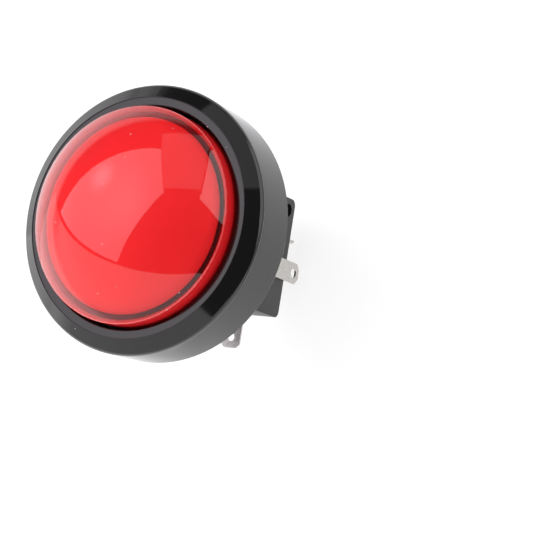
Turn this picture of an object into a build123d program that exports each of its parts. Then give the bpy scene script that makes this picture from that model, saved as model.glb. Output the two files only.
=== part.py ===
"""Illuminated dome push button: bezel housing on a threaded stem, sprung dome, lamp and microswitch."""

import math
import os

from build123d import *

# Frame: z = 0 is the bezel's seat on the panel and +Z runs along the axis towards the dome.
# X runs along the switch and Y through its thickness. Every length is in millimetres.

# Clearances
moving_gap = 0.3
seat_gap = 0.1
press_travel = 2.5

# Bezel and well of the housing
bezel_d = 59.5
bezel_draft = 0.45
bezel_wall_h = 12.0
bezel_h = 14.45
chamfer_w = 3.4
ledge_w = 1.85
ledge_drop = 0.25
housing_wall = 1.8
floor_top = 4.4
floor_t = 1.4
edge_round = 1.2
crest_round = 0.1
throat_round = 0.3
rim_round = 0.3
rib_count = 8
rib_t = 1.2
rib_recess = 0.4

# Threaded stem and nut
stem_root_d = 22.8
stem_wall = 1.4
stem_l = 24.0
stem_end_chamfer = 0.6
collar_wall = 1.2
panel_t = 7.0
nut_across_flats = 30.0
nut_h = 7.0
nut_chamfer = 1.2
nut_face_d = 28.0
nut_face_h = 0.5

# Dome lens and diffuser
dome_clear = 0.7
lens_t = 1.1
shoulder_z = 17.1
shoulder_round = 0.6
dome_rise = 10.7
skirt_bottom = 8.4
bead_depth = 0.7
bead_h = 1.1
diffuser_gap = 1.3
diffuser_t = 1.2

# Plunger
disc_t = 1.6
disc_rib_h = 1.2
disc_rib_count = 6
disc_rim_w = 1.0
disc_rim_top = 16.0
light_hole_d = 14.0
leg_root = 2.8
leg_w = 8.4
barb_w = 4.4
barb_out = 1.2
barb_h = 2.6
barb_inset = 8.0

# Return spring
spring_wire_d = 0.7
spring_clear = 0.85
spring_turns = 2.5

# Lamp holder
socket_d = 12.4
socket_bore_d = 10.6
socket_l = 14.0
block_inset = 6.0
block_w = 12.0
block_clear = 0.55
bridge_ridge = 0.6
block_slope = 2.7
holder_wall = 0.8
latch_w = 8.4
latch_l = 5.0
tongue_w = 4.4
tongue_l = 4.2
tongue_t = 1.5
foot_w = 6.0
foot_l = 3.0
foot_reach = 3.4
bridge_l = 6.8
bridge_window_w = 3.2
bridge_window_l = 2.0
wing_t = 1.9
wing_edge = 0.5
lip_t = 1.2
lip_drop = 1.6
lip_l = 3.4
peg_d = 2.8

# Microswitch
switch_l = 27.8
switch_depth = 15.9
switch_offset = 2.6
base_h = 6.6
cover_h = 3.7
joint_y = 1.0
switch_wall = 1.3
corner_round = 1.6
actuator_corner_round = 3.5
hole_pitch_x = 22.2
hole_pitch_z = 10.3
boss_wall = 1.1
actuator_x = 8.8
actuator_w = 2.6
actuator_h = 4.2
actuator_stand = 2.7
actuator_flange = 0.7
actuator_flange_t = 1.0
actuator_nose = 1.2
actuator_nose_l = 0.4

# Switch terminals and snap blade
tab_w = 4.8
tab_t = 0.5
tab_l = 7.8
tab_hole_d = 1.8
tab_chamfer = 0.9
com_depth = 7.5
com_tab_l = 8.8
no_tab_x = 0.5
nc_tab_x = 8.0
contact_strip_w = 3.0
blade_pivot_x = -4.6
blade_t = 0.3
blade_w = 2.8
blade_overhang = 0.8
blade_roll_d = 0.8
contact_x = 12.0
contact_d = 1.8
contact_t = 0.5
moving_contact_t = 0.4

# Lamp
lamp_d = 9.6
lamp_l = 13.4
lamp_stand = 9.0
lamp_cup_d = 7.6
lamp_cup_depth = 2.6
lamp_edge = 0.6
wedge_w = 8.4
wedge_t = 2.2
wedge_l = 9.0
led_d = 5.0
led_flange_d = 6.6
led_flange_t = 1.2
led_h = 5.2
lead_d = 0.5
lead_x = 2.6

# Lamp contacts
clip_w = 1.8
clip_t = 0.4
clip_flare = 0.9
clip_reach = 8.0
strip_w = 4.8
strip_t = 0.45
lamp_tab_rise = 3.6
lamp_tab_run = 5.0
lamp_tab_l = 9.4
lamp_tab_hole_d = 2.4
lamp_tab_chamfer = 1.3

# Places that follow from the sizes above
stem_r = stem_root_d / 2
bore_r = stem_r - stem_wall
front_r = bezel_d / 2
rim_r = front_r - bezel_draft
crest_r = front_r - chamfer_w
throat_r = crest_r - ledge_w
ledge_z = bezel_h - ledge_drop
lens_r = throat_r - dome_clear
lens_inner_r = lens_r - lens_t
dome_r = (lens_r**2 + dome_rise**2) / (2 * dome_rise)
dome_centre_z = shoulder_z + dome_rise - dome_r
disc_under = skirt_bottom + bead_h + seat_gap
disc_top = disc_under + disc_t
disc_r = lens_inner_r - seat_gap
rim_inner_r = disc_r - disc_rim_w
diffuser_r = rim_inner_r - seat_gap
tube_r = bore_r - moving_gap
light_hole_r = light_hole_d / 2
barb_top = barb_inset - stem_l
tube_end = barb_top + leg_root
collar_r = bore_r + collar_wall
spring_d = 2 * (collar_r + spring_clear) + spring_wire_d
leg_inner_x = block_w / 2 + 2 * moving_gap
leg_end = -stem_l - moving_gap
actuator_tip = leg_end - moving_gap
switch_front = actuator_tip - actuator_stand
switch_back = switch_front - switch_depth
switch_left = switch_offset - switch_l / 2
switch_right = switch_offset + switch_l / 2
base_bottom = joint_y - base_h
cover_top = joint_y + cover_h
switch_mid_y = (base_bottom + cover_top) / 2
switch_mid_z = (switch_front + switch_back) / 2
com_z = switch_front - com_depth
peg_places = [
    (switch_offset - hole_pitch_x / 2, switch_mid_z + hole_pitch_z / 2),
    (switch_offset + hole_pitch_x / 2, switch_mid_z - hole_pitch_z / 2),
]
block_front_z = block_inset - stem_l
socket_mouth_z = block_front_z + socket_l
lamp_front_z = socket_mouth_z + lamp_stand
plate_under = cover_top + seat_gap
plate_top = plate_under + wing_t
bridge_top = plate_top + bridge_ridge
block_top = math.sqrt((bore_r - block_clear) ** 2 - (block_w / 2) ** 2)
block_bottom = -block_top
block_back = switch_front + seat_gap
bridge_back = block_back - bridge_l
wedge_end = lamp_front_z - lamp_l - wedge_l
lead_y = (wedge_t + lead_d) / 2 + seat_gap
clip_y = lead_y + lead_d / 2 + seat_gap + clip_t / 2
clip_base_z = wedge_end - lead_d - 2 * seat_gap - clip_t
clip_tip_z = clip_base_z + clip_reach
riser_z = block_back + strip_t + seat_gap
actuator_flange_front = switch_front - switch_wall - moving_gap
actuator_end = actuator_flange_front - actuator_flange_t - actuator_nose_l
blade_front = actuator_end - moving_gap
blade_back = blade_front - blade_t
blade_angle = math.degrees(math.asin(press_travel / (actuator_x - blade_pivot_x)))
blade_swing = (contact_x - blade_pivot_x) * math.sin(math.radians(blade_angle))
nc_strip_front = blade_front + moving_contact_t + moving_gap + contact_t + tab_t
no_strip_front = blade_back - moving_contact_t - blade_swing - moving_gap - contact_t
strip_y = (switch_mid_y - contact_strip_w / 2, switch_mid_y + contact_strip_w / 2)


def turned(*points):
    """Solid of revolution about Z from a closed outline of (radius, z) points."""
    outline = Polyline(*[(r, 0, z) for r, z in points], close=True)
    return revolve(make_face(outline), Axis.Z)


def block(x, y, z):
    """Box between two limits along each axis."""
    size = [max(a) - min(a) for a in (x, y, z)]
    return Pos(sum(x) / 2, sum(y) / 2, sum(z) / 2) * Box(*size)


def rod(d, z, x=0.0, y=0.0):
    """Round bar along Z between two heights."""
    return Pos(x, y, sum(z) / 2) * Cylinder(d / 2, max(z) - min(z))


def pin_along_y(d, y, x, z):
    """Round bar along Y at a place (x, z)."""
    return Pos(x, sum(y) / 2, z) * Rot(90, 0, 0) * Cylinder(d / 2, max(y) - min(y))


def side_profile(points, x):
    """Outline of (y, z) points extruded between two limits of X."""
    outline = Polyline(*[(min(x), y, z) for y, z in points], close=True)
    return extrude(make_face(outline), amount=max(x) - min(x), dir=(1, 0, 0))


def front_profile(points, y):
    """Outline of (x, z) points extruded between two limits of Y."""
    outline = Polyline(*[(x, min(y), z) for x, z in points], close=True)
    return extrude(make_face(outline), amount=max(y) - min(y), dir=(0, 1, 0))


def band(path, t):
    """Outline of a band of thickness t that is centred on an open path, with mitred corners."""
    points = [Vector(*p) for p in path]
    runs = [(b - a).normalized() for a, b in zip(points, points[1:])]
    left, right = [], []
    for i, p in enumerate(points):
        before = runs[max(i - 1, 0)]
        after = runs[min(i, len(runs) - 1)]
        across = Vector(-before.Y - after.Y, before.X + after.X).normalized()
        half = t / 2 / across.dot(Vector(-before.Y, before.X))
        left.append((p.X + across.X * half, p.Y + across.Y * half))
        right.append((p.X - across.X * half, p.Y - across.Y * half))
    return left + right[::-1]


def ring_edges(solid, r, z):
    """Circular edges of one radius at one height."""
    circles = solid.edges().filter_by(GeomType.CIRCLE)
    return circles.filter_by(lambda e: abs(e.radius - r) < 0.01 and abs(e.center().Z - z) < 0.01)


def dome_z(r, shell):
    """Height of the dome at a radius, on the sphere that lies this far inside the lens."""
    return dome_centre_z + math.sqrt((dome_r - shell) ** 2 - r**2)


def dome_cap(r, shell, bottom):
    """Solid under a dome: a spherical crown on a round wall."""
    apex = (0, 0, dome_z(0, shell))
    half = (r / 2, 0, dome_z(r / 2, shell))
    edge = (r, 0, dome_z(r, shell))
    outline = [
        ThreePointArc(apex, half, edge),
        Polyline(edge, (r, 0, bottom), (0, 0, bottom), apex),
    ]
    return revolve(make_face(outline), Axis.Z)


def housing():
    """Bezel, well and threaded stem in one moulding, cored out and ribbed on the panel side."""
    well_outer_r = throat_r + housing_wall
    channel_r = rim_r - housing_wall
    channel_top = bezel_wall_h - housing_wall
    floor_under = floor_top - floor_t
    collar_top = disc_under - press_travel - moving_gap
    body = turned(
        (bore_r, -stem_l),
        (stem_r, -stem_l),
        (stem_r, floor_under),
        (throat_r, floor_under),
        (throat_r, 0),
        (well_outer_r, 0),
        (well_outer_r, channel_top),
        (channel_r - bezel_draft, channel_top),
        (channel_r, 0),
        (rim_r, 0),
        (front_r, bezel_wall_h),
        (crest_r, bezel_h),
        (crest_r, ledge_z),
        (throat_r, ledge_z),
        (throat_r, floor_top),
        (collar_r, floor_top),
        (collar_r, collar_top),
        (bore_r, collar_top),
    )
    body = fillet(ring_edges(body, front_r, bezel_wall_h), edge_round)
    body = fillet(ring_edges(body, crest_r, bezel_h), crest_round)
    body = fillet(ring_edges(body, throat_r, ledge_z), throat_round)
    body = fillet(ring_edges(body, rim_r, 0), rim_round)
    body = chamfer(ring_edges(body, stem_r, -stem_l), stem_end_chamfer)
    rib_reach = channel_r - bezel_draft + housing_wall / 4
    rib = block((stem_r - housing_wall / 4, rib_reach), (-rib_t / 2, rib_t / 2), (rib_recess, floor_under))
    body += [Rot(0, 0, 360 / rib_count * (i + 0.5)) * rib for i in range(rib_count)]
    window_y = (-barb_w / 2 - moving_gap, barb_w / 2 + moving_gap)
    window_z = (barb_top + moving_gap, barb_top - barb_h - press_travel - 2 * moving_gap)
    body -= block((-bezel_d, -bore_r / 2), window_y, window_z)
    body -= block((bore_r / 2, bezel_d), window_y, window_z)
    foot_x = (-foot_w / 2 - moving_gap, foot_w / 2 + moving_gap)
    foot_z = (block_front_z + moving_gap, block_front_z - foot_l - moving_gap)
    return body - block(foot_x, (-bezel_d, -bore_r / 2), foot_z)


def mounting_nut():
    """Hexagonal nut with chamfered corners and a round bearing face towards the panel."""
    corner_r = nut_across_flats / math.sqrt(3)
    hexagon = RegularPolygon(nut_across_flats / 2, 6, major_radius=False)
    body_top = -panel_t - nut_face_h
    bottom = -panel_t - nut_h
    body = Pos(0, 0, bottom) * extrude(hexagon, body_top - bottom)
    crown = turned(
        (0, bottom),
        (corner_r - nut_chamfer, bottom),
        (corner_r, bottom + nut_chamfer / 2),
        (corner_r, body_top - nut_chamfer / 2),
        (corner_r - nut_chamfer, body_top),
        (0, body_top),
    )
    body = (body & crown) + rod(nut_face_d, (body_top, -panel_t))
    body -= rod(stem_root_d + 2 * moving_gap, (bottom, -panel_t))
    bore_edges = ring_edges(body, stem_r + moving_gap, bottom) + ring_edges(body, stem_r + moving_gap, -panel_t)
    return chamfer(bore_edges, nut_chamfer / 2)


def dome_lens():
    """Clear dome with a round shoulder, and a skirt that snaps under the plunger's disc."""
    body = dome_cap(lens_r, 0, skirt_bottom)
    body = fillet(ring_edges(body, lens_r, dome_z(lens_r, 0)), shoulder_round)
    body -= dome_cap(lens_inner_r, lens_t, skirt_bottom)
    bead_top = skirt_bottom + bead_h
    bead = turned(
        (lens_inner_r + lens_t / 2, skirt_bottom),
        (lens_inner_r, skirt_bottom),
        (lens_inner_r - bead_depth, skirt_bottom + bead_h / 2),
        (lens_inner_r - bead_depth, bead_top),
        (lens_inner_r + lens_t / 2, bead_top),
    )
    return body + bead


def diffuser():
    """Coloured cap under the lens that spreads the lamp's light, open below."""
    shell = lens_t + diffuser_gap
    body = dome_cap(diffuser_r, shell, disc_top)
    return body - dome_cap(diffuser_r - diffuser_t, shell + diffuser_t, disc_top)


def plunger():
    """Disc with a rim for the lens and diffuser, on a guide tube that ends in two barbed legs."""
    body = turned(
        (light_hole_r, tube_end),
        (tube_r, tube_end),
        (tube_r, disc_under),
        (disc_r, disc_under),
        (disc_r, disc_rim_top),
        (rim_inner_r, disc_rim_top),
        (rim_inner_r, disc_top),
        (light_hole_r, disc_top),
    )
    rib_x = (spring_d / 2 + 2 * spring_wire_d, lens_inner_r - bead_depth - 2 * seat_gap)
    rib = block(rib_x, (-rib_t / 2, rib_t / 2), (disc_under - disc_rib_h, disc_under))
    body += [Rot(0, 0, 360 / disc_rib_count * i) * rib for i in range(disc_rib_count)]
    short_end = barb_top - barb_h
    for side, end in ((-1, short_end), (1, leg_end)):
        leg = rod(2 * tube_r, (end, tube_end))
        leg &= block((side * leg_inner_x, side * bore_r), (-leg_w / 2, leg_w / 2), (end, tube_end))
        root = side * (tube_r - barb_out)
        tip = side * (tube_r + barb_out)
        barb = front_profile(
            [(root, barb_top), (tip, barb_top), (tip, barb_top - barb_h / 3), (root, barb_top - barb_h)],
            (-barb_w / 2, barb_w / 2),
        )
        body += leg + barb
    return body


def return_spring():
    """Open coil between the housing's floor and the plunger's disc."""
    bottom = floor_top + spring_wire_d / 2
    top = disc_under - spring_wire_d / 2
    coil = Helix(pitch=(top - bottom) / spring_turns, height=top - bottom, radius=spring_d / 2)
    path = Pos(0, 0, bottom) * coil
    section = Plane(origin=path @ 0, z_dir=path % 0) * Circle(spring_wire_d / 2)
    return sweep(section, path=path, is_frenet=True)


def wing(outline):
    """One wing of the holder's plate, with its top edge bevelled."""
    body = front_profile(outline, (plate_under, plate_top))
    top = body.faces().sort_by(Axis.Y)[-1]
    return chamfer(top.edges(), wing_edge)


def lamp_holder():
    """Lamp socket, latch block and winged plate over the switch, in one moulding."""
    half_w = block_w / 2
    strip_floor = base_bottom - strip_t - 2 * seat_gap
    bridge_bottom = strip_floor - holder_wall
    body = side_profile(
        [
            (block_bottom, block_front_z),
            (block_top - block_slope, block_front_z),
            (block_top, block_front_z - block_slope),
            (block_top, leg_end),
            (bridge_top, leg_end - moving_gap),
            (bridge_top, bridge_back + block_slope / 2),
            (plate_top, bridge_back),
            (plate_under, bridge_back),
            (plate_under, block_back),
            (bridge_bottom, block_back),
            (bridge_bottom, leg_end - moving_gap),
            (block_bottom, leg_end),
        ],
        (-half_w, half_w),
    )
    body += rod(socket_d, (block_front_z, socket_mouth_z))
    wing_front = block_back + wing_t / 2
    wing_rear = switch_back - wing_t / 2
    inner = half_w - wing_t
    overhang = lip_t + seat_gap
    left_x = switch_left - overhang
    right_x = switch_right + overhang
    body += wing(
        [
            (inner, wing_front - wing_t / 2),
            (right_x, wing_front),
            (right_x, wing_rear + wing_t),
            (right_x - wing_t, wing_rear),
            (right_x - switch_depth / 2, wing_rear),
            (inner, bridge_back),
        ],
    )
    body += wing(
        [
            (-inner, wing_front - wing_t / 2),
            (left_x + wing_t, wing_front),
            (left_x, wing_front - wing_t),
            (left_x, switch_mid_z - hole_pitch_z / 2),
            (left_x + wing_t, switch_mid_z - hole_pitch_z / 2 - wing_t),
            (switch_left + hole_pitch_z / 4, switch_mid_z - hole_pitch_z / 2),
            (-inner, bridge_back),
        ],
    )
    lip_y = (plate_under - lip_drop, plate_top - wing_edge)
    lip_z = wing_rear + 2 * wing_t
    body += block((right_x - lip_t, right_x), lip_y, (lip_z, lip_z + lip_l))
    lip_z = wing_front - 2 * wing_t
    body += block((left_x, left_x + lip_t), lip_y, (lip_z - lip_l, lip_z))
    foot = side_profile(
        [
            (block_bottom + holder_wall, block_front_z),
            (block_bottom, block_front_z),
            (block_bottom - foot_reach, block_front_z - foot_l * 0.6),
            (block_bottom - foot_reach, block_front_z - foot_l),
            (block_bottom + holder_wall, block_front_z - foot_l),
        ],
        (-foot_w / 2, foot_w / 2),
    )
    body += foot
    for x, z in peg_places:
        body += pin_along_y(peg_d, (base_bottom + switch_wall, plate_under), x, z)

    cavity_x = (-half_w + 2 * holder_wall, half_w - 2 * holder_wall)
    cavity_front = block_front_z - holder_wall
    body -= rod(socket_bore_d, (cavity_front, socket_mouth_z))
    cavity_top = clip_y + moving_gap
    body -= block(cavity_x, (block_bottom + holder_wall, cavity_top), (block_back, cavity_front))
    latch_floor = cavity_top + holder_wall
    latch_front = block_front_z - 1.5 * holder_wall
    latch_back = latch_front - latch_l
    latch = block((-latch_w / 2, latch_w / 2), (latch_floor, block_top), (latch_back, latch_front))
    tongue_top = block_top - holder_wall / 2
    tongue = block(
        (-tongue_w / 2, tongue_w / 2), (tongue_top - tongue_t, tongue_top), (latch_back, latch_back + tongue_l)
    )
    tip_edges = tongue.edges().filter_by(Axis.Y).sort_by(Axis.Z)[-2:]
    body -= latch - fillet(tip_edges, tongue_w / 3)
    strip_x = (-strip_w / 2 - moving_gap, strip_w / 2 + moving_gap)
    strip_room = plate_under + strip_t + 2 * moving_gap
    riser_x = (min(strip_x[0], -lead_x - clip_w / 2 - moving_gap), strip_x[1])
    body -= block(riser_x, (0, strip_room), (block_back, riser_z + 2 * moving_gap))
    body -= block(cavity_x, (strip_floor, 0), (block_back, riser_z + 2 * moving_gap))
    body -= block(strip_x, (plate_under, strip_room), (bridge_back, block_back))
    window_z = (bridge_back + bridge_l / 2 - bridge_window_l / 2, bridge_back + bridge_l / 2 + bridge_window_l / 2)
    body -= block((-bridge_window_w / 2, bridge_window_w / 2), (plate_under, bridge_top), window_z)
    return body


def tab_hole(solid, d, place, normal):
    """Round hole through a tab, along its normal."""
    return solid - Plane(origin=place, z_dir=normal) * Cylinder(d / 2, 4 * tab_w)


def lamp_contact(side):
    """Spring clip on one side of the lamp's wedge, with a strip to its terminal tab behind."""
    clip = band(
        [
            (clip_y + clip_flare, clip_tip_z),
            (clip_y, clip_tip_z - 2 * clip_flare),
            (clip_y + clip_flare / 2, clip_base_z),
            (-clip_y - clip_flare / 2, clip_base_z),
            (-clip_y, clip_tip_z - 2 * clip_flare),
            (-clip_y - clip_flare, clip_tip_z),
        ],
        clip_t,
    )
    clip_x = (-side * (lead_x - clip_w / 2), -side * (lead_x + clip_w / 2))
    body = side_profile(clip, clip_x)
    tail_y = (side * clip_y, side * (clip_y - strip_t))
    body += block(clip_x, tail_y, (clip_base_z, riser_z))
    strip_x = (-strip_w / 2, strip_w / 2)
    riser_x = (min(clip_x + strip_x), strip_x[1]) if side > 0 else (strip_x[0], max(clip_x + strip_x))
    strip_mid = plate_under + strip_t / 2 + seat_gap if side > 0 else base_bottom - strip_t / 2 - seat_gap
    strip_far = strip_mid + side * strip_t / 2
    body += block(riser_x, (tail_y[1], strip_far), (riser_z - strip_t, riser_z))
    run_back = bridge_back - moving_gap
    slope_back = run_back - lamp_tab_run
    tab_end = slope_back - lamp_tab_l
    rise = lamp_tab_rise if side > 0 else 0.0
    path = [(strip_mid, riser_z - strip_t)]
    if rise:
        path += [(strip_mid, run_back), (strip_mid + rise, slope_back)]
    path += [(strip_mid + rise, tab_end)]
    body += side_profile(band(path, strip_t), strip_x)
    end_edges = body.edges().filter_by(Axis.Y).sort_by(Axis.Z)[:2]
    body = chamfer(end_edges, lamp_tab_chamfer)
    return tab_hole(body, lamp_tab_hole_d, (0, strip_mid + rise, tab_end + strip_w / 2), (0, 1, 0))


def lamp_body():
    """Moulded lamp body with a cup for the light-emitting diode and a flat wedge base."""
    back = lamp_front_z - lamp_l
    body = turned(
        (0, back),
        (lamp_d / 2 - lamp_edge, back),
        (lamp_d / 2, back + lamp_edge),
        (lamp_d / 2, lamp_front_z - lamp_edge),
        (lamp_d / 2 - lamp_edge, lamp_front_z),
        (lamp_cup_d / 2, lamp_front_z),
        (lamp_cup_d / 2, lamp_front_z - lamp_cup_depth),
        (0, lamp_front_z - lamp_cup_depth),
    )
    wedge = block((-wedge_w / 2, wedge_w / 2), (-wedge_t / 2, wedge_t / 2), (wedge_end, back))
    corners = wedge.edges().filter_by(Axis.Y).sort_by(Axis.Z)[:2]
    return body + chamfer(corners, wedge_t / 2)


def lamp_led():
    """Clear diode with a flange and a round nose, seated in the lamp's cup."""
    seat = lamp_front_z - lamp_cup_depth
    nose_z = seat + led_h - led_d / 2
    flange = rod(led_flange_d, (seat, seat + led_flange_t))
    return flange + rod(led_d, (seat, nose_z)) + Pos(0, 0, nose_z) * Sphere(led_d / 2)


def lamp_lead(side):
    """Bare wire that leaves the lamp, folds round the wedge's end and lies on both its faces."""
    x = side * lead_x
    back = lamp_front_z - lamp_l - seat_gap
    turn_z = wedge_end - seat_gap - lead_d / 2
    path = FilletPolyline(
        (x, lead_y, back),
        (x, lead_y, turn_z),
        (x, -lead_y, turn_z),
        (x, -lead_y, turn_z + wedge_l / 2),
        radius=lead_d,
    )
    section = Plane(origin=path @ 0, z_dir=path % 0) * Circle(lead_d / 2)
    return sweep(section, path=path)


def switch_shell(y, inset=0.0):
    """Plan of the switch, with one large corner beside the actuator, extruded between two heights."""
    x = (switch_left + inset, switch_right - inset)
    z = (switch_back + inset, switch_front - inset)
    body = block(x, y, z)
    uprights = body.edges().filter_by(Axis.Y).sort_by(lambda e: e.center().X + e.center().Z)
    body = fillet(uprights[-1], actuator_corner_round - inset)
    uprights = body.edges().filter_by(Axis.Y).sort_by(lambda e: e.center().X + e.center().Z)
    plain = [e for e in uprights if e.center().X < switch_right - actuator_corner_round * 2]
    far = [e for e in uprights if e.center().X > switch_right - 2 * inset - 0.1 and e.center().Z < switch_mid_z]
    return fillet(plain + far, corner_round - inset) if corner_round > inset else body


def switch_bosses(y):
    """Round bosses about the two fixing holes."""
    d = peg_d + 2 * (seat_gap + boss_wall)
    return [pin_along_y(d, y, x, z) for x, z in peg_places]


def fixing_holes(solid):
    """Cuts the two fixing holes that take the holder's pegs."""
    for x, z in peg_places:
        solid -= pin_along_y(peg_d + 2 * seat_gap, (base_bottom, cover_top), x, z)
    return solid


def com_slot(y):
    """Room for the common terminal in the switch's left end."""
    z = (com_z - tab_t - seat_gap, com_z + seat_gap)
    return block((switch_left, switch_left + 2 * switch_wall), y, z)


def switch_base():
    """Lower half of the switch's case, open at the joint with the cover."""
    y = (base_bottom, joint_y)
    room_y = (base_bottom + switch_wall, joint_y)
    body = switch_shell(y)
    room = switch_shell(room_y, switch_wall) - switch_bosses(room_y)
    body = fixing_holes(body - room)
    slot_w = actuator_w / 2 + moving_gap
    slot_y = (joint_y - moving_gap - actuator_h, joint_y)
    body -= block((actuator_x - slot_w, actuator_x + slot_w), slot_y, (switch_front, switch_front - 2 * switch_wall))
    body -= com_slot((joint_y - tab_w / 2 - seat_gap, joint_y))
    tab_y = (switch_mid_y - tab_w / 2 - seat_gap, joint_y)
    for x in (no_tab_x, nc_tab_x):
        slot_x = (x - tab_t / 2 - seat_gap, x + tab_t / 2 + seat_gap)
        body -= block(slot_x, tab_y, (switch_back, switch_back + 2 * switch_wall))
    return body


def switch_cover():
    """Upper half of the switch's case, under the holder's wings."""
    y = (joint_y, cover_top)
    room_y = (joint_y, cover_top - switch_wall)
    body = switch_shell(y)
    room = switch_shell(room_y, switch_wall) - switch_bosses(room_y)
    body = fixing_holes(body - room)
    body -= com_slot((joint_y, joint_y + tab_w / 2 + seat_gap))
    tab_y = (joint_y, switch_mid_y + tab_w / 2 + seat_gap)
    for x in (no_tab_x, nc_tab_x):
        slot_x = (x - tab_t / 2 - seat_gap, x + tab_t / 2 + seat_gap)
        body -= block(slot_x, tab_y, (switch_back, switch_back + 2 * switch_wall))
    return body


def switch_actuator():
    """Button of the switch: a rectangular post with a retaining flange and a narrow nose inside."""
    y = (joint_y - moving_gap - actuator_h + moving_gap, joint_y - moving_gap)
    post = (actuator_x - actuator_w / 2, actuator_x + actuator_w / 2)
    flange = (post[0] - actuator_flange, post[1] + actuator_flange)
    nose = (actuator_x - actuator_nose / 2, actuator_x + actuator_nose / 2)
    flange_back = actuator_flange_front - actuator_flange_t
    body = block(post, y, (actuator_flange_front, actuator_tip))
    top = body.faces().sort_by(Axis.Z)[-1]
    body = fillet(top.edges().filter_by(Axis.Y), actuator_w / 4)
    return body + block(flange, y, (flange_back, actuator_flange_front)) + block(nose, y, (actuator_end, flange_back))


def com_terminal():
    """Common terminal: a tab out of the switch's left end and a post that carries the blade."""
    outside = switch_left - com_tab_l
    post_x = blade_pivot_x - blade_roll_d / 2 - moving_gap
    z = (com_z - tab_t, com_z)
    body = block((outside, switch_left + switch_wall), (joint_y - tab_w / 2, joint_y + tab_w / 2), z)
    end_edges = body.edges().filter_by(Axis.Z).sort_by(Axis.X)[:2]
    body = chamfer(end_edges, tab_chamfer)
    body = tab_hole(body, tab_hole_d, (outside + tab_w / 2, joint_y, com_z), (0, 0, 1))
    body += block((switch_left + switch_wall, post_x), strip_y, z)
    return body + block((post_x - tab_t, post_x), strip_y, (com_z - tab_t, blade_front))


def rear_terminal(x, turn_z):
    """Tab out of the switch's back, with a strip that runs inside to its turn."""
    outside = switch_back - tab_l
    tab_x = (x - tab_t / 2, x + tab_t / 2)
    tab_y = (switch_mid_y - tab_w / 2, switch_mid_y + tab_w / 2)
    body = block(tab_x, tab_y, (outside, switch_back + switch_wall))
    end_edges = body.edges().filter_by(Axis.X).sort_by(Axis.Z)[:2]
    body = chamfer(end_edges, tab_chamfer)
    body = tab_hole(body, tab_hole_d, (x, switch_mid_y, outside + tab_w / 2), (1, 0, 0))
    return body + block(tab_x, strip_y, (switch_back + switch_wall, turn_z))


def no_terminal():
    """Normally open terminal: its strip turns to face the blade's back."""
    reach = contact_x + contact_d / 2
    body = rear_terminal(no_tab_x, no_strip_front)
    return body + block((no_tab_x - tab_t / 2, reach), strip_y, (no_strip_front - tab_t, no_strip_front))


def nc_terminal():
    """Normally closed terminal: its strip passes the blade's tip and turns to face the blade's front."""
    turn_z = no_strip_front - 2 * tab_t - 2 * moving_gap
    far_x = contact_x + blade_overhang + moving_gap + tab_t
    body = rear_terminal(nc_tab_x, turn_z)
    body += block((nc_tab_x - tab_t / 2, far_x), strip_y, (turn_z - tab_t, turn_z))
    body += block((far_x - tab_t, far_x), strip_y, (turn_z - tab_t, nc_strip_front))
    return body + block((contact_x - contact_d / 2, far_x), strip_y, (nc_strip_front - tab_t, nc_strip_front))


def snap_blade():
    """Thin blade that swings between the two fixed contacts on its rolled end."""
    y = (switch_mid_y - blade_w / 2, switch_mid_y + blade_w / 2)
    body = pin_along_y(blade_roll_d, y, blade_pivot_x, (blade_front + blade_back) / 2)
    body += block((blade_pivot_x, contact_x + blade_overhang), y, (blade_back, blade_front))
    return body - rod(contact_d / 2, (blade_back, blade_front), contact_x, switch_mid_y)


def moving_contact():
    """Double-headed rivet in the blade's tip."""
    front = rod(contact_d * 0.8, (blade_front, blade_front + moving_contact_t), contact_x, switch_mid_y)
    back = rod(contact_d * 0.8, (blade_back - moving_contact_t, blade_back), contact_x, switch_mid_y)
    return front + back + rod(contact_d / 2, (blade_back, blade_front), contact_x, switch_mid_y)


def fixed_contact(z):
    """Round contact on a terminal's strip."""
    return rod(contact_d, z, contact_x, switch_mid_y)


nodes = {
    "housing": housing(),
    "mounting_nut": mounting_nut(),
    "dome_lens": dome_lens(),
    "diffuser": diffuser(),
    "plunger": plunger(),
    "return_spring": return_spring(),
    "lamp_holder": lamp_holder(),
    "lamp_contact_upper": lamp_contact(1),
    "lamp_contact_lower": lamp_contact(-1),
    "lamp_body": lamp_body(),
    "lamp_led": lamp_led(),
    "lamp_lead_left": lamp_lead(-1),
    "lamp_lead_right": lamp_lead(1),
    "switch_base": switch_base(),
    "switch_cover": switch_cover(),
    "switch_actuator": switch_actuator(),
    "com_terminal": com_terminal(),
    "no_terminal": no_terminal(),
    "nc_terminal": nc_terminal(),
    "snap_blade": snap_blade(),
    "moving_contact": moving_contact(),
    "no_contact": fixed_contact((no_strip_front, no_strip_front + contact_t)),
    "nc_contact": fixed_contact((nc_strip_front - tab_t - contact_t, nc_strip_front - tab_t)),
}

os.makedirs("parts", exist_ok=True)
for name, solid in nodes.items():
    export_step(solid, f"parts/{name}.step")
print("blade angle at full press, degrees:", round(blade_angle, 4))
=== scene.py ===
"""Looks of the dome push button: finishes, thread, skirt, spring, camera, lamps and floor."""

import math

import bmesh
import bpy
from mathutils import Euler, Matrix, Vector


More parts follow.
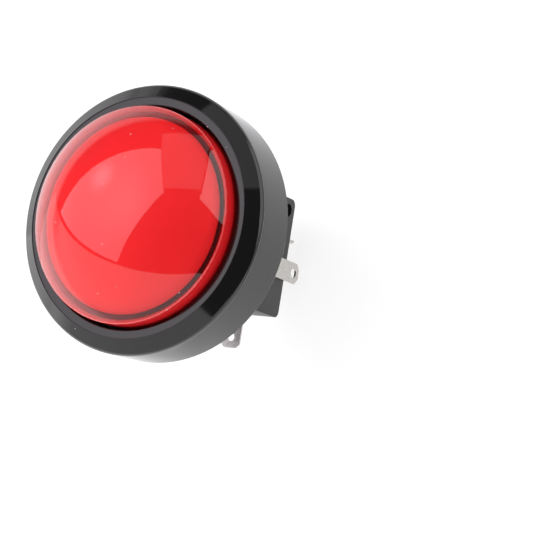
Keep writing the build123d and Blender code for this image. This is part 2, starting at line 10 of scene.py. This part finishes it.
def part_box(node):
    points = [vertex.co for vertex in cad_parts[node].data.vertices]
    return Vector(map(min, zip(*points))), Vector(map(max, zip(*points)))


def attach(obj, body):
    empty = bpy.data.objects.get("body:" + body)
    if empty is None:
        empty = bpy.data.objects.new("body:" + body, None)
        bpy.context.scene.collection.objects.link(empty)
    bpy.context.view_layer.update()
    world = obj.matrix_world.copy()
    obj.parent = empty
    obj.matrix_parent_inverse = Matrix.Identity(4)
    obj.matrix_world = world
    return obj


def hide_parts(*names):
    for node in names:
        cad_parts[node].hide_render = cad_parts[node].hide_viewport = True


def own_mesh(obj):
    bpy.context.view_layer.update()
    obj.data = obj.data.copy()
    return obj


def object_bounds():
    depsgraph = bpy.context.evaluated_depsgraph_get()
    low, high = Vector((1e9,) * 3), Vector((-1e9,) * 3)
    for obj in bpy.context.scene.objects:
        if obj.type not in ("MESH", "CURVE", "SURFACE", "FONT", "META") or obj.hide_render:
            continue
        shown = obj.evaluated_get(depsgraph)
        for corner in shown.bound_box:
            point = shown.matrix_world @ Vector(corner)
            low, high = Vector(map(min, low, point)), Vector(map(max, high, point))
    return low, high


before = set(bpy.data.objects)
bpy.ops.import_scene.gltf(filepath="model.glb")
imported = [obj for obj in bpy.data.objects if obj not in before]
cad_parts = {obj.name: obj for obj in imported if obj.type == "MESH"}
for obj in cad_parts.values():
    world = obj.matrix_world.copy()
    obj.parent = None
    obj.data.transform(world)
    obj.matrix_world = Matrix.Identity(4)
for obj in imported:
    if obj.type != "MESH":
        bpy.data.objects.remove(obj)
packed_size = [list(corner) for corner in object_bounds()]

MM = 0.001
FULL_TURN = 2 * math.pi
Z_AXIS = (0, 0, 1)
ORIGIN = (0, 0, 0)

# Scales of the surface patterns, in waves or cells a millimetre
CLOUD_SCALE = 0.11
GRAIN_SCALE = 2.2
LENS_CLOUD_SCALE = 0.09
RESIN_SCALE = 1.5
STREAK_SCALE = 1.4
TARNISH_SCALE = 0.35
SPECK_SCALE = 0.2

# Places and depths on the surfaces, in millimetres
SEAM_R = 29.0
SEAM_Z = 11.2
SEAM_HALF_W = 0.2
SEAM_DEPTH = 0.08
THROAT_R = 24.5
THROAT_MATT_FROM = THROAT_R + 0.02
THROAT_MATT_TO = THROAT_R + 0.2
RIM_R = 18.0
STREAK_DEPTH = 0.006
BEZEL_SPECK_SIZE = 0.14
LENS_SPECK_SIZE = 0.2

# Colours within the finishes
# The rim colour below is painted red light from the lens, laid on the black rim of the disc
RIM_PAINTED_RED_LIGHT = (0.05, 0.003, 0.003)
DUST_GREY = (0.5, 0.5, 0.5)
DUST_PINK = (1.0, 0.62, 0.62)
TARNISH = (0.45, 0.40, 0.33)
LENS_TINT = (1.0, 0.72, 0.73)
LENS_DEEP, LENS_LIGHT = (0.74, 0.020, 0.026), (0.82, 0.026, 0.032)
RESIN_DEEP, RESIN_LIGHT = (0.92, 0.90, 0.88), (0.98, 0.97, 0.95)
WHITE = (1, 1, 1)


class Wire:
    """One output of a node. Arithmetic on wires becomes Math nodes."""

    def __init__(self, look, socket):
        self.look, self.socket = look, socket

    def math(self, operation, *others, first=None):
        values = [self, *others] if first is None else [first, self]
        return self.look.node("Math", {"operation": operation}, dict(enumerate(values)))

    def __add__(self, other):
        return self.math("ADD", other)

    def __radd__(self, other):
        return self.math("ADD", first=other)

    def __sub__(self, other):
        return self.math("SUBTRACT", other)

    def __rsub__(self, other):
        return self.math("SUBTRACT", first=other)

    def __mul__(self, other):
        return self.math("MULTIPLY", other)

    def __rmul__(self, other):
        return self.math("MULTIPLY", first=other)

    def __truediv__(self, other):
        return self.math("DIVIDE", other)

    def __rtruediv__(self, other):
        return self.math("DIVIDE", first=other)

    def __pow__(self, other):
        return self.math("POWER", other)

    def __gt__(self, other):
        return self.math("GREATER_THAN", other)

    def __lt__(self, other):
        return self.math("LESS_THAN", other)


class Look:
    """The nodes of a material, lamp or world, with patterns measured in millimetres of the part."""

    def __init__(self, name, owner=None):
        self.owner = owner or bpy.data.materials.new(name)
        self.owner.use_nodes = True
        self.tree = self.owner.node_tree
        self.tree.nodes.clear()

    def node(self, kind, settings=None, sockets=None, out=0):
        made = self.tree.nodes.new("ShaderNode" + kind)
        for name, value in (settings or {}).items():
            setattr(made, name, value)
        for key, value in (sockets or {}).items():
            socket = made.inputs[key]
            if isinstance(value, Wire):
                self.tree.links.new(value.socket, socket)
            elif socket.type == "RGBA":
                socket.default_value = (*value, 1)
            else:
                socket.default_value = value
        return Wire(self, made.outputs[out])

    def place(self, stretch=(1, 1, 1)):
        spot = self.node("TexCoord", out="Object")
        return self.node("Mapping", {}, {"Vector": spot, "Scale": [1 / MM * s for s in stretch]})

    def noise(self, scale, detail, stretch=(1, 1, 1)):
        sockets = {"Vector": self.place(stretch), "Scale": scale, "Detail": detail}
        return self.node("TexNoise", {}, sockets)

    def radius_and_height(self):
        spot = self.place()
        x, y, z = [self.node("SeparateXYZ", {}, {"Vector": spot}, out=i) for i in range(3)]
        return (x * x + y * y) ** 0.5, z

    def ramp(self, value, low, high, to_low=0.0, to_high=1.0):
        sockets = {"Value": value, 1: low, 2: high, 3: to_low, 4: to_high}
        return self.node("MapRange", {"interpolation_type": "SMOOTHSTEP"}, sockets)

    def mix(self, share, low, high):
        return self.node("Mix", {"data_type": "RGBA"}, {0: share, 6: low, 7: high}, out=2)

    def blend(self, share, low, high):
        return self.node("MixShader", {}, {0: share, 1: low, 2: high})

    def bump(self, height):
        return self.node("Bump", {}, {"Height": height, "Strength": 1.0, "Distance": MM})

    def specks(self, size):
        """Sparse round specks: points of a cell pattern that happen to lie on the surface."""
        cells = self.node("TexVoronoi", {}, {"Vector": self.place(), "Scale": SPECK_SCALE})
        return cells < size * SPECK_SCALE

    def finish(self, shader, output="Material"):
        last = self.tree.nodes.new("ShaderNodeOutput" + output)
        self.tree.links.new(shader.socket, last.inputs["Surface"])
        return self.owner


def shaded(colour, factor):
    return tuple(min(1.0, part * factor) for part in colour)


def plastic(slot, colour, rough, grain=0.004, cloud=0.18, shine=0.5, detail=None):
    """Moulded plastic: slightly clouded colour, uneven gloss and a fine moulded grain."""
    look = Look(slot)
    clouds = look.noise(CLOUD_SCALE, 3.0)
    fine = look.noise(GRAIN_SCALE, 4.0)
    tone = look.mix(clouds, shaded(colour, 1 - cloud), shaded(colour, 1 + cloud))
    gloss = look.ramp(clouds + 0.4 * fine, 0.4, 1.0, rough * 0.8, rough * 1.25)
    height = grain * fine
    if detail:
        tone, gloss, height = detail(look, tone, gloss, height)
    sockets = {
        "Base Color": tone, "Roughness": gloss, "IOR": 1.5, "Specular IOR Level": shine,
        "Normal": look.bump(height)}
    return look.finish(look.node("BsdfPrincipled", {}, sockets))


def bezel_detail(look, tone, gloss, height):
    """Mould seam round the wall, matt well inside the throat and a few specks of dust."""
    radius, z = look.radius_and_height()
    off_seam = (z - SEAM_Z).math("ABSOLUTE")
    groove = look.ramp(off_seam, 0.0, SEAM_HALF_W, 1.0, 0.0) * (radius > SEAM_R)
    well = look.ramp(radius, THROAT_MATT_FROM, THROAT_MATT_TO, 1.0, 0.0) * (z > 0)
    speck = look.specks(BEZEL_SPECK_SIZE)
    tone = look.mix(speck, tone, DUST_GREY)
    return tone, gloss + 0.55 * well + 0.5 * speck, height - SEAM_DEPTH * groove


def rim_painted_red_light(look, tone, gloss, height):
    """Rim round the disc, with painted red light: the red of the lens above it laid on the black as
    colour.
    """
    radius, _ = look.radius_and_height()
    return look.mix(radius > RIM_R, tone, RIM_PAINTED_RED_LIGHT), gloss, height


def metal(slot, colour, rough, stretch):
    """Rolled or drawn metal: streaks along its length and a little tarnish."""
    look = Look(slot)
    streaks = look.noise(STREAK_SCALE, 4.0, stretch)
    clouds = look.noise(TARNISH_SCALE, 3.0)
    tone = look.mix(streaks, shaded(colour, 0.82), shaded(colour, 1.12))
    tone = look.mix(look.ramp(clouds, 0.52, 0.8, 0.0, 0.5), tone, TARNISH)
    gloss = look.ramp(streaks + 0.5 * clouds, 0.4, 1.1, rough * 0.75, rough * 1.4)
    sockets = {
        "Base Color": tone, "Roughness": gloss, "Metallic": 1.0,
        "Normal": look.bump(STREAK_DEPTH * streaks)}
    return look.finish(look.node("BsdfPrincipled", {}, sockets))


def lens_red():
    """Clear tinted plastic, glossy and a little dusty, denser where one looks along its wall."""
    look = Look("lens_red")
    clouds = look.noise(LENS_CLOUD_SCALE, 2.0)
    passed = look.node("BsdfTransparent", {}, {"Color": LENS_TINT})
    shine = look.node("BsdfAnisotropic", {}, {"Color": WHITE, "Roughness": 0.02})
    outside = 1 - look.node("NewGeometry", out="Backfacing")
    mirror = look.node("Fresnel", {}, {"IOR": 1.52}) * outside
    dense = look.mix(clouds, LENS_DEEP, LENS_LIGHT)
    sockets = {"Base Color": dense, "Roughness": 0.6, "Specular IOR Level": 0.0}
    body = look.node("BsdfPrincipled", {}, sockets)
    edge_on = look.node("LayerWeight", {}, {"Blend": 0.5}, out="Facing")
    depth = look.blend(0.65 * edge_on**2, passed, body)
    clear = look.blend(mirror, depth, shine)
    dust = look.node("BsdfDiffuse", {}, {"Color": DUST_PINK})
    return look.finish(look.blend(0.6 * look.specks(LENS_SPECK_SIZE), clear, dust))


def led_clear():
    """Clear cast resin with a slightly uneven tint."""
    look = Look("led_clear")
    tone = look.mix(look.noise(RESIN_SCALE, 2.0), RESIN_DEEP, RESIN_LIGHT)
    sockets = {"Base Color": tone, "Roughness": 0.03, "IOR": 1.5, "Transmission Weight": 0.9}
    return look.finish(look.node("BsdfPrincipled", {}, sockets))


BEZEL_BLACK = (0.0055, 0.0052, 0.0055)
PLUNGER_BLACK = (0.006, 0.005, 0.005)
SWITCH_BLACK = (0.014, 0.014, 0.0145)
finishes = {
    "bezel_black": plastic("bezel_black", BEZEL_BLACK, 0.07, grain=0.0006, detail=bezel_detail),
    "nut_black": plastic("nut_black", (0.012, 0.012, 0.012), 0.36, grain=0.006),
    "lens_red": lens_red(),
    "diffuser_red": plastic("diffuser_red", (0.96, 0.060, 0.069), 0.55, cloud=0.04),
    # The plunger's rim carries painted red light from the lens above it
    "plunger_black": plastic("plunger_black", PLUNGER_BLACK, 0.5, shine=0.03, detail=rim_painted_red_light),
    "spring_steel": metal("spring_steel", (0.60, 0.60, 0.61), 0.24, (1, 1, 6)),
    "holder_black": plastic("holder_black", (0.012, 0.0118, 0.012), 0.24),
    "terminal_metal": metal("terminal_metal", (0.58, 0.565, 0.54), 0.27, (7, 7, 0.5)),
    "lamp_red": plastic("lamp_red", (0.66, 0.010, 0.016), 0.10, grain=0.001),
    "led_clear": led_clear(),
    "lead_metal": metal("lead_metal", (0.70, 0.69, 0.67), 0.22, (5, 5, 0.6)),
    "switch_black": plastic("switch_black", SWITCH_BLACK, 0.38, grain=0.006),
    "switch_red": plastic("switch_red", (0.42, 0.014, 0.030), 0.40, grain=0.006),
    "actuator_black": plastic("actuator_black", SWITCH_BLACK, 0.30),
    "blade_metal": metal("blade_metal", (0.72, 0.47, 0.25), 0.28, (0.5, 7, 7)),
    "contact_silver": metal("contact_silver", (0.80, 0.79, 0.77), 0.30, (3, 3, 3)),
}
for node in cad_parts.values():
    for place in node.material_slots:
        place.material = finishes[place.material.name.split(".")[0]]


MERGE_GAP = 0.0005


def piece(name, bm, body, slot, smooth_deg=40, finish=None):
    """A finished mesh in the part's frame, riding on a body, with its slot's finish or its own."""
    bmesh.ops.remove_doubles(bm, verts=bm.verts, dist=MERGE_GAP * MM)
    bmesh.ops.recalc_face_normals(bm, faces=bm.faces)
    for edge in bm.edges:
        edge.smooth = edge.is_manifold and edge.calc_face_angle() < math.radians(smooth_deg)
    for face in bm.faces:
        face.smooth = True
    mesh = bpy.data.meshes.new(name)
    bm.to_mesh(mesh)
    bm.free()
    mesh.materials.append(finish or finishes[slot])
    made = bpy.data.objects.new(name, mesh)
    bpy.context.scene.collection.objects.link(made)
    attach(made, body)
    return made


def closed_loop(bm, points):
    """The corners and sides of a section."""
    verts = [bm.verts.new(point) for point in points]
    return verts, [bm.edges.new((verts[i - 1], verts[i])) for i in range(len(verts))]


def helix(bm, verts, edges, rise, angle, steps):
    """A section turned and raised step by step, then closed at both ends."""
    spun = bmesh.ops.spin(
        bm, geom=verts + edges, cent=ORIGIN, axis=Z_AXIS, dvec=(0, 0, rise), angle=angle,
        steps=steps)
    last = [e for e in spun["geom_last"] if isinstance(e, bmesh.types.BMEdge)]
    bmesh.ops.contextual_create(bm, geom=edges)
    bmesh.ops.contextual_create(bm, geom=last)


# Thread on the stem, broken at the nut and over the windows for the plunger's barbs and the foot
STEM_R = 11.4
THREAD_R = 11.95
THREAD_ROOT_R = STEM_R - 0.05
THREAD_SECTION = [
    (THREAD_ROOT_R, -0.62), (THREAD_R, -0.16), (THREAD_R, 0.16), (THREAD_ROOT_R, 0.62)]
THREAD_TOP, THREAD_END = -0.95, -22.6
THREAD_L = 22
PITCH = 1.5
STEP_DEG = 5
STEP_DROP = PITCH * STEP_DEG / 360
FEWEST_STEPS = 4
NUT_LOW, NUT_HIGH = -14.7, -6.3
BARB_LOW, BARB_HIGH, BARB_DEGS, BARB_HALF_DEG = -22.4, -15.0, (0, 180, 360), 15
FOOT_LOW, FOOT_HIGH, FOOT_DEG, FOOT_HALF_DEG = -22.0, -17.0, 270, 19


def thread_z(step):
    return THREAD_TOP - PITCH * step * STEP_DEG / 360


def thread_run(bm, start, steps):
    """One stretch of the ridge."""
    z = thread_z(start)
    turn = Matrix.Rotation(math.radians(start * STEP_DEG), 3, "Z")
    points = [turn @ Vector((r, 0, z + dz)) * MM for r, dz in THREAD_SECTION]
    verts, edges = closed_loop(bm, points)
    helix(bm, verts, edges, -STEP_DROP * MM, math.radians(steps * STEP_DEG), steps)


def ridge_fits(step):
    angle, z = (step * STEP_DEG) % 360, thread_z(step)
    if NUT_LOW < z < NUT_HIGH or z < THREAD_END:
        return False
    off_barb = min(abs(angle - barb) for barb in BARB_DEGS)
    at_barb = off_barb < BARB_HALF_DEG and BARB_LOW < z < BARB_HIGH
    at_foot = abs(angle - FOOT_DEG) < FOOT_HALF_DEG and FOOT_LOW < z < FOOT_HIGH
    return not (at_barb or at_foot)


bm = bmesh.new()
start = None
for step in range(int(THREAD_L / PITCH * 360 / STEP_DEG) + 1):
    if ridge_fits(step) and start is None:
        start = step
    elif not ridge_fits(step) and start is not None:
        if step - 1 - start >= FEWEST_STEPS:
            thread_run(bm, start, step - 1 - start)
        start = None
piece("stem_thread", bm, "base", "bezel_black", 25)


# Deep colour inside the lens's skirt, up to the shoulder
SKIRT_SECTION = [(22.72, 8.5), (22.72, 16.05), (23.45, 17.15), (23.74, 16.7), (23.74, 8.5)]
SKIRT_STEPS = 180
SKIRT_RED = (0.70, 0.018, 0.023)
bm = bmesh.new()
verts, edges = closed_loop(bm, [Vector((r, 0, z)) * MM for r, z in SKIRT_SECTION])
bmesh.ops.spin(
    bm, geom=verts + edges, cent=ORIGIN, axis=Z_AXIS, dvec=(0, 0, 0), angle=FULL_TURN,
    steps=SKIRT_STEPS, use_merge=True)
skirt_red = plastic("skirt_red", SKIRT_RED, 0.5, grain=0.001, cloud=0.05, shine=0.2)
piece("lens_skirt_core", bm, "dome", "lens_red", finish=skirt_red)


# Return spring, a coil of wire in place of the packed spring
WIRE_R = 0.35
WIRE_SIDES = 12
COIL_TURNS = 2.5
COIL_STEPS = 180
low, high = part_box("return_spring")
coil_r = (high[0] - low[0]) / 2 - WIRE_R * MM
rise = high[2] - low[2] - 2 * WIRE_R * MM
upright = Matrix.Rotation(math.pi / 2, 3, "X")
bm = bmesh.new()
wire = bmesh.ops.create_circle(bm, cap_ends=False, segments=WIRE_SIDES, radius=WIRE_R * MM)["verts"]
bmesh.ops.rotate(bm, verts=wire, cent=ORIGIN, matrix=upright)
bmesh.ops.translate(bm, verts=wire, vec=(coil_r, 0, low[2] + WIRE_R * MM))
helix(bm, wire, bm.edges[:], rise / COIL_STEPS, FULL_TURN * COIL_TURNS, COIL_STEPS)
coil = piece("return_coil", bm, "base", "spring_steel")
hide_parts("return_spring")
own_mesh(coil)


# Camera
CAMERA_PLACE = (-81.5, -300.11, 475.38)
CAMERA_TURN_DEG = (12.42, 28.12, -79.96)
camera = bpy.data.objects.new("camera", bpy.data.cameras.new("camera"))
bpy.context.scene.collection.objects.link(camera)
camera.data.sensor_width = 36
camera.data.lens = 167.14
camera.data.clip_start = 0.05
camera.location = Vector(CAMERA_PLACE) * MM
camera.rotation_euler = Euler([math.radians(a) for a in CAMERA_TURN_DEG])
bpy.context.scene.camera = camera
bpy.context.view_layer.update()


# Lamps, laid out from the head in the studio's own axes: right, up and front
HEAD_Z = 14
STUDIO_TILT_DEG = 30.4
REACH = 1.2
LEFT_WHITE = (0.98, 0.93, 1.0)
LEFT_MIDDLE = (-0.74, 0.81, 0.44)
LEFT_BULB = (-0.806, 0.635, -0.129)
TABLE_FRONT = (-0.3, 0, 1)
head = Vector((0, 0, HEAD_Z)) * MM
tilt = Matrix.Rotation(math.radians(STUDIO_TILT_DEG), 3, "X")
studio = camera.matrix_world.to_3x3() @ tilt


def softbox(name, corner, wide, high, level, colour=WHITE):
    """A rectangular lamp from one corner and two sides, facing the head, with an even radiance."""
    corner, wide, high = (Vector(v) * REACH for v in (corner, wide, high))
    centre = corner + (wide + high) / 2
    facing = wide.cross(high)
    if facing.dot(centre) < 0:
        wide, facing = -wide, -facing
    turn = Matrix((wide.normalized(), high.normalized(), facing.normalized())).transposed()
    data = bpy.data.lights.new(name, "AREA")
    data.shape = "RECTANGLE"
    data.size, data.size_y = wide.length, high.length
    data.energy = level * math.pi * wide.length * high.length
    data.color = colour
    lamp = bpy.data.objects.new(name, data)
    lamp.matrix_world = Matrix.Translation(head + studio @ centre) @ (studio @ turn).to_4x4()
    lamp.visible_camera = False
    bpy.context.scene.collection.objects.link(lamp)
    return data


def measured(look, operation, vector):
    """A number got from the place on the lamp and a vector."""
    spot = look.node("NewGeometry", out="Position")
    return look.node("VectorMath", {"operation": operation}, {0: spot, 1: vector}, out="Value")


def near(look, place, reach):
    """1 at a place in the studio, falling smoothly to 0 at a distance from it."""
    gap = measured(look, "DISTANCE", head + studio @ Vector(place) * REACH)
    return look.ramp(gap / REACH, 0.0, reach, 1.0, 0.0)


def along(look, towards, start, end):
    """0 to 1 between two distances from the head along a direction of the studio."""
    axis = studio @ Vector(towards)
    way = measured(look, "DOT_PRODUCT", axis)
    return look.ramp((way - head.dot(axis)) / REACH, start, end)


def left_level(look):
    return 0.72 + 0.28 * near(look, LEFT_MIDDLE, 0.9) + 0.75 * near(look, LEFT_BULB, 0.26)


def table_level(look):
    return 0.4 + 0.6 * along(look, TABLE_FRONT, -0.06, 0.09)


def uneven(data, level):
    """Lets a lamp's level vary over its face."""
    look = Look(data.name, data)
    sockets = {"Color": WHITE, "Strength": level(look)}
    look.finish(look.node("Emission", {}, sockets), "Light")


left = softbox(
    "softbox_left", (-1.02, 0.012, -0.36), (0, 0, 1.36), (0.67, 1.888, 0), 2.52, LEFT_WHITE)
uneven(left, left_level)
softbox("softbox_right", (0.92, 0.30, -0.33), (0, 0, 1.21), (-0.39, 1.10, 0), 2.0)
softbox("overhead", (-0.34, 1.9, -0.91), (0, 0, 1.78), (1.02, 0, 0), 0.6)
table_card = softbox("table_card", (-2.4, -0.07, -2.2), (0, 0, 4.5), (3.6, 0, 0), 1.22)
uneven(table_card, table_level)


# Floor, white to the eye and in reflections, which keeps the shadow
FLOOR_HALF_W = 4.0
FLOOR_GREY = (0.45, 0.45, 0.45)
FLOOR_GLOW = 0.72
SEEING_RAYS = ("Is Camera Ray", "Is Glossy Ray", "Is Transmission Ray")
bm = bmesh.new()
bmesh.ops.create_grid(bm, x_segments=1, y_segments=1, size=FLOOR_HALF_W)
bmesh.ops.translate(bm, verts=bm.verts, vec=(0, 0, packed_size[0][2]))
mesh = bpy.data.meshes.new("floor")
bm.to_mesh(mesh)
bm.free()
floor = bpy.data.objects.new("floor", mesh)
bpy.context.scene.collection.objects.link(floor)
look = Look("floor_white")
paper = look.node("BsdfDiffuse", {}, {"Color": FLOOR_GREY})
glow = look.node("Emission", {}, {"Color": WHITE, "Strength": FLOOR_GLOW})
lit = look.node("AddShader", {}, {0: paper, 1: glow})
rays = [look.node("LightPath", out=ray) for ray in SEEING_RAYS]
seen = rays[0].math("MAXIMUM", rays[1]).math("MAXIMUM", rays[2])
mesh.materials.append(look.finish(look.blend(seen, paper, lit)))


# Surroundings, white at the horizon and dark above
BAND_LOW, BAND_HIGH = 0.02, 0.12
BAND_LEVEL, ABOVE_LEVEL = 1.0, 0.08
world = bpy.data.worlds.new("studio")
bpy.context.scene.world = world
look = Look("studio", world)
direction = look.node("TexCoord", out="Generated")
upward = look.node("SeparateXYZ", {}, {"Vector": direction}, out="Z")
sockets = {"Value": upward, 1: BAND_LOW, 2: BAND_HIGH, 3: BAND_LEVEL, 4: ABOVE_LEVEL}
band = look.node("MapRange", {}, sockets)
look.finish(look.node("Background", {}, {"Color": band}), "World")

bpy.context.scene.view_settings.view_transform = "Standard"
